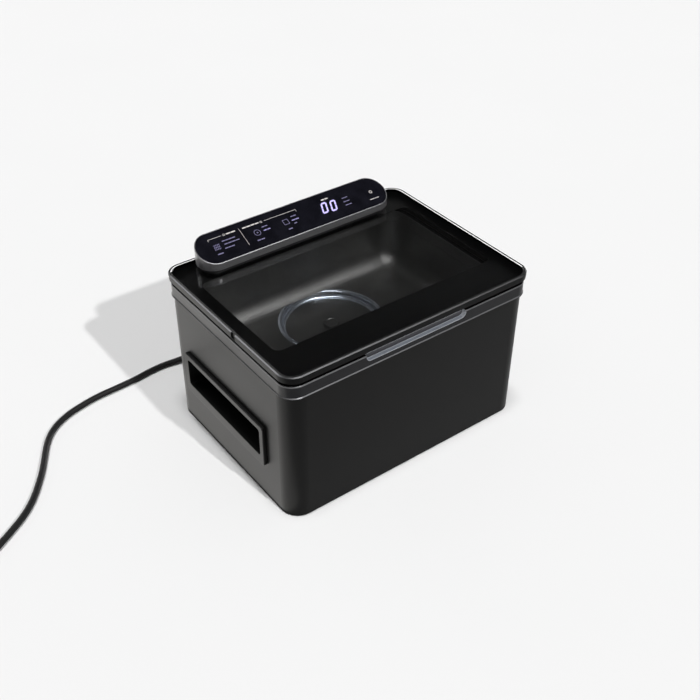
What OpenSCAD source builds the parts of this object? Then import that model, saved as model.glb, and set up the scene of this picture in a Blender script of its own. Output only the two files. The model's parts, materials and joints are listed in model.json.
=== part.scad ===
// Countertop chamber vacuum sealer with a glass lid, a heated seal bar and a built-in pump.
// Millimetres. +X is the width, the front looks along -Y, +Z is up and z = 0 is the table.
// The origin is the centre of the machine's outline on the table, hinges included.

/* [Lid] */
// Width of the lid, the widest part of the body
lid_w = 356; // [330:1:400]
// Depth of the lid from front to rear
lid_d = 267; // [250:1:300]
// Height of the lid's top face above the table
lid_top = 211; // [205:1:240]
// Thickness of the lid's rim
lid_h = 10.6; // [9:0.1:14]
// Corner radius of the lid
lid_r = 20.5; // [16:0.5:30]
// Thickness of the glass
glass_t = 5; // [4:0.5:6]

/* [Body] */
// How far the walls stand in from the lid's edge
wall_inset = 2.2; // [1:0.1:4]
// How far the deck frame stands in from the lid's edge
deck_inset = 0.8; // [0:0.1:2]
// Thickness of the walls
wall_t = 2.6; // [2:0.1:3]
// Corner radius of the walls
wall_r = 23.5; // [18:0.5:30]
// Air gap between the walls and the table
foot_h = 1.2; // [1:0.1:2]
// Height of the deck frame's band
deck_h = 17; // [15:0.5:20]
// Gap between the lid and the deck, which the gasket fills
lid_gap = 3.4; // [3:0.1:4]

/* [Chamber] */
// Width of the chamber
tub_w = 308; // [280:1:312]
// Depth of the chamber from front to rear
tub_d = 212; // [190:1:216]
// Height of the chamber's floor above the table
tub_floor = 118; // [116:1:122]
// Corner radius of the chamber
tub_r = 24; // [16:1:30]
// Thickness of the steel
tub_t = 1.2; // [1:0.1:1.5]
// Radius of the round recess in the floor
recess_r = 63; // [50:1:66]
// Distance of the recess behind the body's middle
recess_y = 34; // [30:1:36]

/* [Handles] */
// Length of a handle's bezel
bezel_l = 176; // [160:1:180]
// Height of a handle's bezel
bezel_h = 59; // [55:1:60]
// How far the bezel stands out of the wall
bezel_out = 4.8; // [3:0.1:6]
// Depth of the hand pocket, measured from the wall's face
pocket_depth = 30; // [22:1:34]

/* [Console] */
// Length of the control console
console_l = 280; // [260:1:300]
// Depth of the console from front to rear, seen from above
console_d = 43.8; // [40:0.1:48]
// Height of the console's front wall
console_h = 9.1; // [8:0.1:12]
// Tilt of the console's face towards the front, in degrees
console_tilt = 23; // [15:1:26]
// Distance of the console to the left of the lid's middle
console_left = 5; // [0:1:8]

/* [Seal bar] */
// Length of the seal bar
bar_l = 280; // [240:1:290]
// Travel of the seal bar when it clamps the bag
bar_travel = 6; // [4:0.5:6]

/* [Power cord] */
// Diameter of the cord
cord_dia = 8; // [7:0.5:8]

/* [Hidden] */

$fn = 96;
fit = 0.2;
run_fit = 0.05;
eps = 0.5;

// levels
deck_top = lid_top - lid_h - lid_gap;
deck_z = deck_top - deck_h;
lid_z = lid_top - lid_h;
pan_z = foot_h;
pan_t = 2.5;
pan_top = pan_z + pan_t;

// plan sizes
wall_w = lid_w - 2 * wall_inset;
wall_d = lid_d - 2 * wall_inset;
deck_w = lid_w - 2 * deck_inset;
deck_d = lid_d - 2 * deck_inset;

// hinge line, just behind the lid's rear edge
hinge_r = 4;
hinge_y = lid_d / 2 + 4.5;
hinge_z = lid_z - 1.9;
hinge_x = 112;
pin_r = 2;

// the outline runs from the lid's front edge to the back of the hinge knuckles
body_y = -(hinge_y + hinge_r - lid_d / 2) / 2;

// handle pocket
bezel_y = 6;
bezel_z = 53;
pocket_l = bezel_l - 15;
pocket_z = 66;
pocket_h = 38.5;
cup_t = 2;

// console: upright walls whose top is cut at a slant; its front and its underside
console_y = 81.9;
console_z = lid_top + 5.1;
console_wall = 2;
console_reach = 40;
face_t = 1.6;
board_t = 1.6;
board_gap = 1.4;
plinth_inset = 4;
glass_edge = 1.8;
glass_top = lid_top - 0.2;

// finger pull in the front of the deck frame
pull_l = 144;
pull_h = 8.2;
pull_in = 6;

// gasket groove around the chamber
groove_out = 7;
groove_w = 6;
groove_h = 4;

// chamber: its top flange, the recess in its floor and the bead pressed round the recess
tub_flange = 11;
recess_z = tub_floor - 8;
drain_r = 5;
bead_r = 2.2;
bead_out = 3;

// seal bar
bar_y = -94;
bar_w = 14;
bar_top = 190;
bar_h = 14;
tape_top = bar_top + 1.6;
press_z = tape_top + bar_travel + 0.6;
rod_r = 6;
rod_at = 110;

// pump line, with the motor's shaft along X
shaft_y = 65;
shaft_z = 45;
shaft_r = 3;
motor_r = 30;
motor_x = [-25, 45];
case_x = [-66, -28];
valve_x = -47;
valve_z = 70;
plunger_r = 4;

// cooling fan
fan_x = 105;
fan_z = 47;
fan_y = 119;
fan_size = 60;

// cord: from the gland to the coil, then the plug
cord_r = cord_dia / 2;
gland_x = -100;
gland_z = 26;
gland_y = [131.3, 166];
cord_route = [
    [-100, 166, 26], [-100.5, 176, 25], [-103, 186, 22], [-108, 195, 17], [-116, 202, 11.5],
    [-127, 206.5, 7], [-141, 210, 4.6], [-158, 212, 4], [-180, 211, 4], [-205, 207.5, 4],
    [-228, 206, 4], [-252, 205, 4], [-270, 203, 4], [-287, 199.5, 4], [-303, 195, 4],
    [-317, 189, 4], [-330, 181, 4], [-341, 171, 4], [-351, 158, 4], [-359, 145, 4],
    [-368, 129, 4], [-377, 114, 4], [-388, 98, 4], [-400, 82, 4], [-412, 69, 4],
    [-424, 58.5, 4], [-442, 46, 4], [-461, 34, 4], [-482, 21, 4], [-503, 8, 4]];
cord_sides = 10;
coil_at = [-532, 53];
coil_in = 32.5;
coil_out = 57.5;
coil_h = 16.6;
plug_at = [-581, 84];
plug_r = 13;

// ---------- helpers ----------

// places children measured from the body's middle
module at(x, y, z) {
    translate([x, body_y + y, z]) children();
}

// rectangle with round corners, centred
module round_rect(w, d, r) {
    square([w - 2 * r, d], center = true);
    square([w, d - 2 * r], center = true);
    for (sx = [-1, 1], sy = [-1, 1])
        translate([sx * (w / 2 - r), sy * (d / 2 - r)]) circle(r);
}

// upright block with round corners, centred on the body
module round_block(w, d, r, z0, z1) {
    at(0, 0, z0) linear_extrude(z1 - z0) round_rect(w, d, r);
}

// rounded frame of width t inside the outline w by d
module round_frame(w, d, r, t, z0, z1) {
    difference() {
        round_block(w, d, r, z0, z1);
        round_block(w - 2 * t, d - 2 * t, r - t, z0 - eps, z1 + eps);
    }
}

// box given by its lowest and highest corners, measured from the body's middle
module box(a, b) {
    at(a[0], a[1], a[2]) cube(b - a);
}

// cylinder along X, Y or Z between two levels
module rod_x(x0, x1, y, z, r) {
    at(x0, y, z) rotate([0, 90, 0]) cylinder(h = x1 - x0, r = r);
}

module rod_y(y0, y1, x, z, r) {
    at(x, y1, z) rotate([90, 0, 0]) cylinder(h = y1 - y0, r = r);
}

module rod_z(z0, z1, x, y, r) {
    at(x, y, z0) cylinder(h = z1 - z0, r = r);
}

// pipe along Z
module pipe_z(z0, z1, x, y, r, bore) {
    difference() {
        rod_z(z0, z1, x, y, r);
        rod_z(z0 - eps, z1 + eps, x, y, bore);
    }
}

// long slot outline with round ends, length l over all
module stadium(l, d) {
    square([l - d, d], center = true);
    for (s = [-1, 1]) translate([s * (l - d) / 2, 0]) circle(d / 2);
}

// upright block with the console's outline, shrunk by g all round
module console_block(g, z0, z1) {
    at(-console_left, console_y + console_d / 2, z0) linear_extrude(z1 - z0)
        stadium(console_l - 2 * g, console_d - 2 * g);
}

// slab between two depths below the console's slanted face
module under_face(d0, d1) {
    at(0, console_y, console_z + console_h) rotate([console_tilt, 0, 0])
        translate([-console_l, -console_d, -d1])
            cube([2 * console_l, 3 * console_d, d1 - d0]);
}

// what lies inside the console's outline and between two depths below its face
module console_layer(g, d0, d1) {
    intersection() {
        console_block(g, console_z, console_z + console_reach);
        under_face(d0, d1);
    }
}

// ---------- base and housing ----------

foot_x = 150;
foot_y = 104;
foot_r = 11;

module at_feet() {
    for (sx = [-1, 1], sy = [-1, 1]) translate([sx * foot_x, sy * foot_y, 0]) children();
}

module base_pan() {
    color("dimgray") difference() {
        union() {
            round_block(wall_w - 2 * wall_t - 2 * fit, wall_d - 2 * wall_t - 2 * fit,
                wall_r - wall_t - fit, pan_z, pan_top);
            at_feet() rod_z(pan_top - eps, pan_top + 8, 0, 0, 5);
        }
        at_feet() rod_z(pan_z - eps, pan_z + 1.8, 0, 0, foot_r + fit);
        at_feet() rod_z(pan_z, pan_top + 7, 0, 0, 1.65);
        for (i = [0 : 8]) box([-40, -100 + 7 * i, pan_z - eps], [0, -97 + 7 * i, pan_top + eps]);
    }
}

module feet() {
    color("black") at_feet() difference() {
        rod_z(0, pan_z + 1.8, 0, 0, foot_r);
        rod_z(-eps, 1.5, 0, 0, 4.5);
        rod_z(1, pan_z + 2, 0, 0, 1.65);
    }
}

module foot_screws() {
    color("silver") at_feet() union() {
        rod_z(0.4, 1.5, 0, 0, 3.4);
        rod_z(1.4, pan_top + 6, 0, 0, 1.6);
    }
}

panel_w = 292;
panel_z = [14, 168];
panel_flange = 4;

// a hand pocket's outline in the wall, grown by g
module pocket_cut(side, g) {
    x0 = side * (wall_w / 2 + bezel_out + 10);
    x1 = side * (wall_w / 2 - pocket_depth);
    box([min(x0, x1), bezel_y - pocket_l / 2 - g, pocket_z - g],
        [max(x0, x1), bezel_y + pocket_l / 2 + g, pocket_z + pocket_h + g]);
}

module housing_shell() {
    color([0.16, 0.16, 0.155]) difference() {
        round_frame(wall_w, wall_d, wall_r, wall_t, pan_z, deck_z);
        for (side = [-1, 1]) pocket_cut(side, cup_t + fit);
        box([-panel_w / 2, wall_d / 2 - wall_t - eps, panel_z[0]],
            [panel_w / 2, wall_d / 2 + eps, panel_z[1]]);
    }
}

screw_x = 138;
screw_z = [22, 91, 160];

module rear_panel() {
    inner = wall_d / 2 - wall_t;
    color([0.1, 0.1, 0.1]) difference() {
        union() {
            box([-panel_w / 2 + fit, inner - eps, panel_z[0] + fit],
                [panel_w / 2 - fit, wall_d / 2, panel_z[1] - fit]);
            box([-panel_w / 2 - panel_flange, inner - 2, panel_z[0] - panel_flange],
                [panel_w / 2 + panel_flange, inner - fit / 2, panel_z[1] + 3]);
        }
        for (i = [0 : 8]) box([fan_x - 27, inner - 3, fan_z - 26 + 6 * i],
            [fan_x + 27, wall_d / 2 + eps, fan_z - 23 + 6 * i]);
        for (i = [0 : 8]) box([-50, inner - 3, fan_z + 40 + 6 * i],
            [50, wall_d / 2 + eps, fan_z + 43 + 6 * i]);
        rod_y(inner - 3, wall_d / 2 + eps, gland_x, gland_z, 7.1);
        for (sx = [-1, 1], z = screw_z)
            rod_y(inner - 3, wall_d / 2 + eps, sx * screw_x, z, 1.65);
    }
}

module case_screws() {
    color("silver") for (sx = [-1, 1], z = screw_z) union() {
        rod_y(wall_d / 2, wall_d / 2 + 1.4, sx * screw_x, z, 3.2);
        rod_y(wall_d / 2 - 10, wall_d / 2 + eps, sx * screw_x, z, 1.6);
    }
}

module handle_bezel(side) {
    face = wall_w / 2 + bezel_out;
    back = wall_w / 2 - pocket_depth - cup_t;
    color([0.13, 0.13, 0.125]) difference() {
        union() {
            at(side > 0 ? wall_w / 2 : -face, bezel_y, bezel_z + bezel_h / 2)
                rotate([90, 0, 90]) linear_extrude(bezel_out) round_rect(bezel_l, bezel_h, 4);
            box([side > 0 ? back : -wall_w / 2 - eps, bezel_y - pocket_l / 2 - cup_t,
                    pocket_z - cup_t],
                [side > 0 ? wall_w / 2 + eps : -back, bezel_y + pocket_l / 2 + cup_t,
                    pocket_z + pocket_h + cup_t]);
        }
        pocket_cut(side, 0);
    }
}

module handle_bezel_left() {
    handle_bezel(-1);
}

module handle_bezel_right() {
    handle_bezel(1);
}

// ---------- deck, chamber and seals ----------

module pull_cut() {
    at(0, -deck_d / 2 + pull_in, deck_top - pull_h) rotate([90, 0, 0])
        linear_extrude(pull_in + eps) union() {
            translate([-pull_l / 2 + 6, 0]) square([pull_l - 12, pull_h + eps]);
            translate([-pull_l / 2, 6]) square([pull_l, pull_h - 6 + eps]);
            for (s = [-1, 1]) translate([s * (pull_l / 2 - 6), 6]) circle(6);
        }
}

module deck_frame() {
    lip_w = wall_w - 2 * wall_t - 2 * fit;
    lip_d = wall_d - 2 * wall_t - 2 * fit;
    color([0.2, 0.2, 0.21]) difference() {
        union() {
            round_block(deck_w, deck_d, lid_r, deck_z, deck_top);
            round_frame(lip_w, lip_d, wall_r - wall_t - fit, 2, deck_z - 8, deck_z + eps);
        }
        round_block(tub_w, tub_d, tub_r, deck_z - 1, deck_top + eps);
        difference() {
            round_block(tub_w + 2 * (groove_out + groove_w), tub_d + 2 * (groove_out + groove_w),
                tub_r + groove_out + groove_w, deck_top - groove_h, deck_top + eps);
            round_block(tub_w + 2 * groove_out, tub_d + 2 * groove_out, tub_r + groove_out,
                deck_top - groove_h - eps, deck_top + 2 * eps);
        }
        pull_cut();
    }
}

module chamber_gasket() {
    color("black") round_frame(tub_w + 2 * (groove_out + groove_w) - 0.2,
        tub_d + 2 * (groove_out + groove_w) - 0.2, tub_r + groove_out + groove_w - 0.1,
        groove_w - 0.2, deck_top - groove_h, lid_z - 0.4);
}

module chamber_tub() {
    color("gray") union() {
        difference() {
            union() {
                round_block(tub_w + 2 * tub_t, tub_d + 2 * tub_t, tub_r + tub_t,
                    tub_floor - tub_t, deck_z);
                round_block(tub_w + 2 * tub_flange, tub_d + 2 * tub_flange, tub_r + tub_flange,
                    deck_z - tub_t, deck_z);
                rod_z(recess_z - tub_t, tub_floor, 0, recess_y, recess_r + tub_t);
            }
            round_block(tub_w, tub_d, tub_r, tub_floor, deck_z + eps);
            rod_z(recess_z, tub_floor + eps, 0, recess_y, recess_r);
            rod_z(recess_z - 4, tub_floor, 0, recess_y, drain_r);
        }
        at(0, recess_y, tub_floor) rotate_extrude() translate([recess_r + bead_out, -tub_t / 2])
            intersection() {
                circle(bead_r);
                translate([-bead_r, 0]) square(2 * bead_r);
            }
    }
}

module intake_filter_cap() {
    base = recess_z;
    color("silver") difference() {
        rod_z(base, base + 5, 0, recess_y, 10);
        rod_z(base - eps, base + 3.5, 0, recess_y, 8.5);
        for (a = [0 : 45 : 315]) at(0, recess_y, base - eps) rotate([0, 0, a])
            translate([4, -0.8, 0]) cube([8, 1.6, 2.5]);
    }
}

module intake_fitting() {
    base = recess_z;
    color("goldenrod") difference() {
        union() {
            rod_z(base - 20, base + 2, 0, recess_y, 4.9);
            rod_z(base - tub_t - 2, base - tub_t, 0, recess_y, 9);
        }
        rod_z(base - 21, base + 3, 0, recess_y, 3);
    }
}

module lift_cylinders() {
    color("silver") for (s = [-1, 1]) difference() {
        rod_z(tub_floor, 160, s * rod_at, bar_y, 9);
        rod_z(tub_floor + 3, 161, s * rod_at, bar_y, rod_r + run_fit);
    }
}

// ---------- seal bar ----------

module seal_bar_body() {
    color("silver") difference() {
        box([-bar_l / 2, bar_y - bar_w / 2, bar_top - bar_h],
            [bar_l / 2, bar_y + bar_w / 2, bar_top]);
        for (s = [-1, 1]) box([s * (bar_l / 2 - 12) - 4, bar_y - bar_w / 2 - eps, bar_top - 9],
            [s * (bar_l / 2 - 12) + 4, bar_y - bar_w / 2 + 2, bar_top + eps]);
    }
}

module heater_strip() {
    color("sienna") union() {
        box([-bar_l / 2 + 4, bar_y - 5, bar_top], [bar_l / 2 - 4, bar_y + 5, bar_top + 0.6]);
        for (dy = [-2.4, 1]) box([-bar_l / 2 + 4, bar_y + dy, bar_top + 0.5],
            [bar_l / 2 - 4, bar_y + dy + 1.4, bar_top + 1]);
    }
}

module bar_tape() {
    color("tan") difference() {
        box([-bar_l / 2, bar_y - bar_w / 2 - 0.4, bar_top - 6],
            [bar_l / 2, bar_y + bar_w / 2 + 0.4, tape_top]);
        box([-bar_l / 2 - eps, bar_y - bar_w / 2 - 0.02, bar_top - 7],
            [bar_l / 2 + eps, bar_y + bar_w / 2 + 0.02, bar_top + 1.02]);
    }
}

module lift_rods() {
    color("gainsboro") for (s = [-1, 1])
        rod_z(tub_floor + 6, bar_top - bar_h, s * rod_at, bar_y, rod_r);
}

// ---------- vacuum pump ----------

mount_at = [[-60, 28], [-60, 102], [45, 28], [45, 102]];

module pump_bracket() {
    color("slategray") difference() {
        union() {
            box([-70, 20, 9], [55, 110, 12]);
            for (x = [-20, 34]) box([x, 40, 11.5], [x + 6, 90, 30]);
            box([case_x[0] + 4, 50, 11.5], [case_x[1] - 4, 80, 22]);
        }
        rod_x(-26, 46, shaft_y, shaft_z, motor_r + run_fit);
        for (p = mount_at) rod_z(8, 13, p[0], p[1], 3.1);
    }
}

module pump_mounts() {
    color("black") for (p = mount_at) union() {
        rod_z(pan_top, 9, p[0], p[1], 7);
        rod_z(8.5, 14, p[0], p[1], 3);
    }
}

module motor_can() {
    color("lightgray") difference() {
        rod_x(motor_x[0], motor_x[1], shaft_y, shaft_z, motor_r);
        rod_x(motor_x[0] + 3, motor_x[1] - 3, shaft_y, shaft_z, motor_r - 2);
        rod_x(motor_x[0] - eps, motor_x[1] + eps, shaft_y, shaft_z, shaft_r + run_fit);
    }
}

module motor_stator() {
    color("darkorange") difference() {
        rod_x(motor_x[0] + 10, motor_x[1] - 10, shaft_y, shaft_z, motor_r - 2);
        rod_x(motor_x[0] + 9, motor_x[1] - 9, shaft_y, shaft_z, 19);
    }
}

module pump_crankcase() {
    color("silver") difference() {
        box([case_x[0], shaft_y - 22, shaft_z - 23], [case_x[1], shaft_y + 22, shaft_z + 23]);
        rod_x(case_x[0] + 6, case_x[1] - 6, shaft_y, shaft_z, 16);
        rod_x(case_x[0] + 3, case_x[1] + eps, shaft_y, shaft_z, shaft_r + run_fit);
    }
}

// one pump head: a finned block with a port on top
module pump_head(y0) {
    union() {
        box([case_x[0] + 4, y0, 27], [case_x[1] - 4, y0 + 18, 54]);
        for (i = [0 : 4]) box([case_x[0] + 2, y0 + 1 + 3.6 * i, 27],
            [case_x[1] - 2, y0 + 2.6 + 3.6 * i, 56]);
        rod_z(53, 62, valve_x, y0 + 9, 5);
    }
}

module pump_heads() {
    color("gray") {
        pump_head(shaft_y - 22 - 18);
        pump_head(shaft_y + 22);
    }
}

module exhaust_muffler() {
    color("goldenrod") rod_z(62, 96, valve_x, shaft_y + 31, 9);
}

module pump_rotor() {
    color("dimgray") union() {
        rod_x(case_x[0] + 4, motor_x[1] + 14, shaft_y, shaft_z, shaft_r);
        rod_x(motor_x[0] + 12, motor_x[1] - 12, shaft_y, shaft_z, 18);
        rod_x(case_x[0] + 12, case_x[0] + 24, shaft_y + 3, shaft_z, 10);
        rod_x(motor_x[1] + 5, motor_x[1] + 7, shaft_y, shaft_z, 24);
        for (a = [0 : 45 : 315]) at(motor_x[1] + 6, shaft_y, shaft_z) rotate([a, 0, 0])
            translate([0, 8, -1]) cube([7, 15.8, 2]);
    }
}

// ---------- valve and hoses ----------

// quarter bend of a hose that comes down from above and turns towards -X
module quarter_bend(bend_r, r_out, r_in) {
    mirror([0, 0, 1]) rotate([90, 0, 0]) rotate_extrude(angle = 90)
        translate([bend_r, 0]) difference() {
            circle(r_out);
            circle(r_in);
        }
}

hose_bend = 12;
hose_top = tub_floor - 28;
hose_r = 7;
hose_in = 4.95;

module vacuum_hose() {
    color([0.1, 0.1, 0.1]) union() {
        pipe_z(hose_top, tub_floor - 18, 0, recess_y, hose_r, hose_in);
        at(-hose_bend, recess_y, hose_top) quarter_bend(hose_bend, hose_r, hose_in);
        difference() {
            rod_x(-31, -hose_bend, recess_y, hose_top - hose_bend, hose_r);
            rod_x(-32, -hose_bend + eps, recess_y, hose_top - hose_bend, hose_in);
        }
    }
}

module valve_body() {
    color("goldenrod") difference() {
        union() {
            box([valve_x - 10, recess_y - 10, valve_z], [valve_x + 10, recess_y + 10, valve_z + 16]);
            rod_x(valve_x + 9, valve_x + 20, recess_y, hose_top - hose_bend, 4.9);
            rod_z(valve_z - 7, valve_z + 1, valve_x, recess_y, 4.9);
        }
        rod_z(valve_z - 8, valve_z + 8, valve_x, recess_y, 3);
    }
}

module pump_hose() {
    color([0.1, 0.1, 0.1]) pipe_z(57, valve_z - 0.5, valve_x, recess_y, 7, 5.05);
}

module valve_coil() {
    base = valve_z + 16;
    color("darkred") difference() {
        union() {
            rod_z(base, base + 18, valve_x, recess_y, 12);
            rod_z(base + 18 - eps, base + 20, valve_x, recess_y, 6);
        }
        rod_z(base - eps, base + 18, valve_x, recess_y, plunger_r + run_fit);
    }
}

module valve_plunger() {
    color("silver") rod_z(valve_z + 16.4, valve_z + 28, valve_x, recess_y, plunger_r);
}

module valve_spring() {
    color("gainsboro") for (i = [0 : 3]) at(valve_x, recess_y, valve_z + 28.8 + 1.4 * i)
        rotate_extrude() translate([2.8, 0]) circle(0.5, $fn = 16);
}

// ---------- electrics ----------

module transformer_core() {
    color("dimgray") difference() {
        box([-135, -60, pan_top], [-75, -30, pan_top + 50]);
        for (x = [-125, -98]) box([x, -61, pan_top + 10], [x + 13, -29, pan_top + 40]);
    }
}

module transformer_coil() {
    color("darkorange") difference() {
        box([-124.8, -72, pan_top + 10.2], [-85.2, -18, pan_top + 39.8]);
        box([-112.2, -60.2, pan_top], [-97.8, -29.8, pan_top + 50]);
    }
}

board_x = [30, 130];
board_y = [-115, -25];
board_z = 15;

module power_board() {
    color("darkgreen") difference() {
        box([board_x[0], board_y[0], board_z], [board_x[1], board_y[1], board_z + 1.6]);
        for (x = board_x, y = board_y) rod_z(board_z - 1, board_z + 3,
            x + (x == board_x[0] ? 5 : -5), y + (y == board_y[0] ? 5 : -5), 1.6);
    }
}

module board_standoffs() {
    color("ivory") for (x = board_x, y = board_y) rod_z(pan_top, board_z,
        x + (x == board_x[0] ? 5 : -5), y + (y == board_y[0] ? 5 : -5), 3.5);
}

module board_components() {
    top = board_z + 1.6;
    color("black") {
        for (i = [0 : 2]) rod_z(top, top + 26, board_x[0] + 20 + 19 * i, board_y[0] + 18, 8);
        for (i = [0 : 1]) box([board_x[0] + 14 + 26 * i, board_y[1] - 32, top],
            [board_x[0] + 34 + 26 * i, board_y[1] - 14, top + 16]);
        box([board_x[0] + 40, board_y[0] + 34, top], [board_x[0] + 54, board_y[0] + 48, top + 2]);
        for (i = [0 : 4]) box([board_x[1] - 24, board_y[0] + 10 + 6 * i, top],
            [board_x[1] - 10, board_y[0] + 13 + 6 * i, top + 30]);
        box([board_x[1] - 24, board_y[0] + 10, top], [board_x[1] - 20, board_y[0] + 37, top + 30]);
    }
}

module mains_terminal() {
    color("ivory") difference() {
        box([-115, 92, pan_top], [-85, 114, 24]);
        for (x = [-109, -100, -91]) rod_z(16, 25, x, 103, 2.6);
    }
}

module reed_switch() {
    color("ivory") box([-20, -125, 174], [0, -119.5, deck_z - tub_t - 0.2]);
}

fan_bore = 28.5;

module fan_frame() {
    color([0.08, 0.08, 0.08]) difference() {
        union() {
            difference() {
                box([fan_x - fan_size / 2, fan_y - 7.5, fan_z - fan_size / 2],
                    [fan_x + fan_size / 2, fan_y + 7.5, fan_z + fan_size / 2]);
                rod_y(fan_y - 8, fan_y + 8, fan_x, fan_z, fan_bore);
            }
            rod_y(fan_y + 4.5, fan_y + 7.2, fan_x, fan_z, 12);
            for (a = [30, 150, 270]) at(fan_x, fan_y + 4.8, fan_z) rotate([0, a, 0])
                translate([8, 0, -1.5]) cube([fan_bore - 7.2, 2.2, 3]);
        }
        rod_y(fan_y + 3, fan_y + 6, fan_x, fan_z, 2 + run_fit);
    }
}

module fan_rotor() {
    color([0.15, 0.15, 0.15]) union() {
        rod_y(fan_y - 5.5, fan_y + 4, fan_x, fan_z, 12);
        rod_y(fan_y + 3.5, fan_y + 5.5, fan_x, fan_z, 2);
        for (i = [0 : 6]) at(fan_x, fan_y - 1, fan_z) rotate([0, i * 360 / 7, 0])
            translate([11, 0, 0]) rotate([35, 0, 0]) translate([0, -0.8, -5.5])
                cube([16.3, 1.6, 11]);
    }
}

// ---------- hinges ----------

// along X from the hinge's middle: ear, lid knuckle, spring, ear
ear_a = [-22, -12];
leaf_span = [-11.6, 3.6];
ear_b = [12.4, 22];

module knuckle(span, r, bore) {
    difference() {
        rod_x(span[0], span[1], hinge_y, hinge_z, r);
        rod_x(span[0] - eps, span[1] + eps, hinge_y, hinge_z, bore);
    }
}

module hinge_brackets() {
    color("dimgray") for (s = [-1, 1]) translate([s * hinge_x, 0, 0]) union() {
        for (ear = [ear_a, ear_b]) {
            knuckle(ear, hinge_r, pin_r + 0.02);
            difference() {
                box([ear[0], deck_d / 2, hinge_z - 10], [ear[1], hinge_y + 2, hinge_z]);
                rod_x(ear[0] - eps, ear[1] + eps, hinge_y, hinge_z, hinge_r - eps);
            }
        }
        box([ear_a[0], deck_d / 2, hinge_z - 12], [ear_b[1], deck_d / 2 + 2, hinge_z - 5]);
    }
}

module hinge_pins() {
    color("silver") for (s = [-1, 1]) translate([s * hinge_x, 0, 0]) union() {
        rod_x(ear_a[0] - 1, ear_b[1] + 1, hinge_y, hinge_z, pin_r);
        rod_x(ear_a[0] - 2, ear_a[0], hinge_y, hinge_z, 3.2);
        rod_x(ear_b[1], ear_b[1] + 2, hinge_y, hinge_z, 3.2);
    }
}

module torsion_springs() {
    color("gainsboro") for (s = [-1, 1], i = [0 : 4])
        at(s * hinge_x + 5 + 1.5 * i, hinge_y, hinge_z) rotate([0, 90, 0])
            rotate_extrude() translate([3, 0]) circle(0.6, $fn = 16);
}

module hinge_leaves() {
    color("dimgray") for (s = [-1, 1]) translate([s * hinge_x, 0, 0]) difference() {
        union() {
            rod_x(leaf_span[0], leaf_span[1], hinge_y, hinge_z, hinge_r);
            box([leaf_span[0], lid_d / 2, hinge_z + 0.5],
                [leaf_span[1], hinge_y + 2.5, hinge_z + 6]);
        }
        rod_x(leaf_span[0] - eps, leaf_span[1] + eps, hinge_y, hinge_z, pin_r + run_fit);
    }
}

// ---------- lid ----------

module lid_rim() {
    color([0.3, 0.3, 0.3]) difference() {
        round_block(lid_w, lid_d, lid_r, lid_z, lid_top);
        round_block(lid_w - 2 * glass_edge, lid_d - 2 * glass_edge, lid_r - glass_edge,
            glass_top - glass_t, lid_top + eps);
        round_block(tub_w + 2, tub_d - 4, tub_r, lid_z - eps, lid_top);
        rod_z(lid_z - eps, lid_z + 3.6, -10, -122, 3.05);
    }
}

module lid_glass() {
    color([0.05, 0.05, 0.06, 0.6]) round_block(lid_w - 2 * glass_edge - 0.2,
        lid_d - 2 * glass_edge - 0.2, lid_r - glass_edge - 0.1, glass_top - glass_t, glass_top);
}

module lid_magnet() {
    color("silver") rod_z(lid_z + 0.4, lid_z + 3.6, -10, -122, 3);
}

module press_bar_holder() {
    color("silver") difference() {
        box([-bar_l / 2 - 4, bar_y - 7, lid_z + 0.6], [bar_l / 2 + 4, bar_y + 7,
            glass_top - glass_t]);
        box([-bar_l / 2 - 5, bar_y - 5, lid_z], [bar_l / 2 + 5, bar_y + 5, lid_z + 3]);
    }
}

module press_bar_rubber() {
    color("maroon") box([-bar_l / 2 - 2, bar_y - 4.9, press_z],
        [bar_l / 2 + 2, bar_y + 4.9, lid_z + 3]);
}

module console_band() {
    color("gray") difference() {
        console_layer(0, 0, 2 * console_reach);
        console_block(console_wall, console_z - eps, console_z + console_reach + eps);
    }
}

module console_glass() {
    color([0.02, 0.02, 0.03]) console_layer(console_wall + 0.1, 0, face_t);
}

module console_board() {
    color("darkgreen") console_layer(4 * console_wall, face_t + board_gap,
        face_t + board_gap + board_t);
}

module console_base() {
    color([0.06, 0.06, 0.06]) union() {
        console_block(console_wall + 0.1, console_z, console_z + console_wall);
        console_block(plinth_inset, glass_top, console_z + eps);
    }
}

// ---------- power cord ----------

module cord_gland() {
    color([0.07, 0.07, 0.07]) difference() {
        union() {
            at(gland_x, gland_y[0], gland_z) rotate([-90, 0, 0]) union() {
                cylinder(h = 2.5, r = 9);
                cylinder(h = gland_y[1] - gland_y[0], r1 = 7, r2 = cord_r + 0.8);
            }
            rod_y(gland_y[0] - 12, gland_y[0] + eps, gland_x, gland_z, 7);
        }
        for (i = [0 : 3]) difference() {
            rod_y(gland_y[0] + 8 + 6 * i, gland_y[0] + 10 + 6 * i, gland_x, gland_z, 8);
            rod_y(gland_y[0] + 7 + 6 * i, gland_y[0] + 11 + 6 * i, gland_x, gland_z, cord_r + 0.4);
        }
    }
}

// direction along the route at point i, averaged over its neighbours
function unit(v) = v / norm(v);
function heading(p, i) = unit(p[min(i + 1, len(p) - 1)] - p[max(i - 1, 0)]);
function side_of(h) = unit(cross(h, [0, 0, 1]));
function ring(p, i, r, n) =
    let (h = heading(p, i), s = side_of(h), u = cross(s, h))
    [for (k = [0 : n - 1]) p[i] + r * (cos(360 * k / n) * s + sin(360 * k / n) * u)];

module tube(p, r, n) {
    m = len(p);
    rings = [for (i = [0 : m - 1]) each ring(p, i, r, n)];
    walls = [for (i = [0 : m - 2], k = [0 : n - 1])
        [i * n + k, i * n + (k + 1) % n, (i + 1) * n + (k + 1) % n, (i + 1) * n + k]];
    ends = [[for (k = [n - 1 : -1 : 0]) k], [for (k = [0 : n - 1]) (m - 1) * n + k]];
    polyhedron(rings, concat(walls, ends));
}

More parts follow.
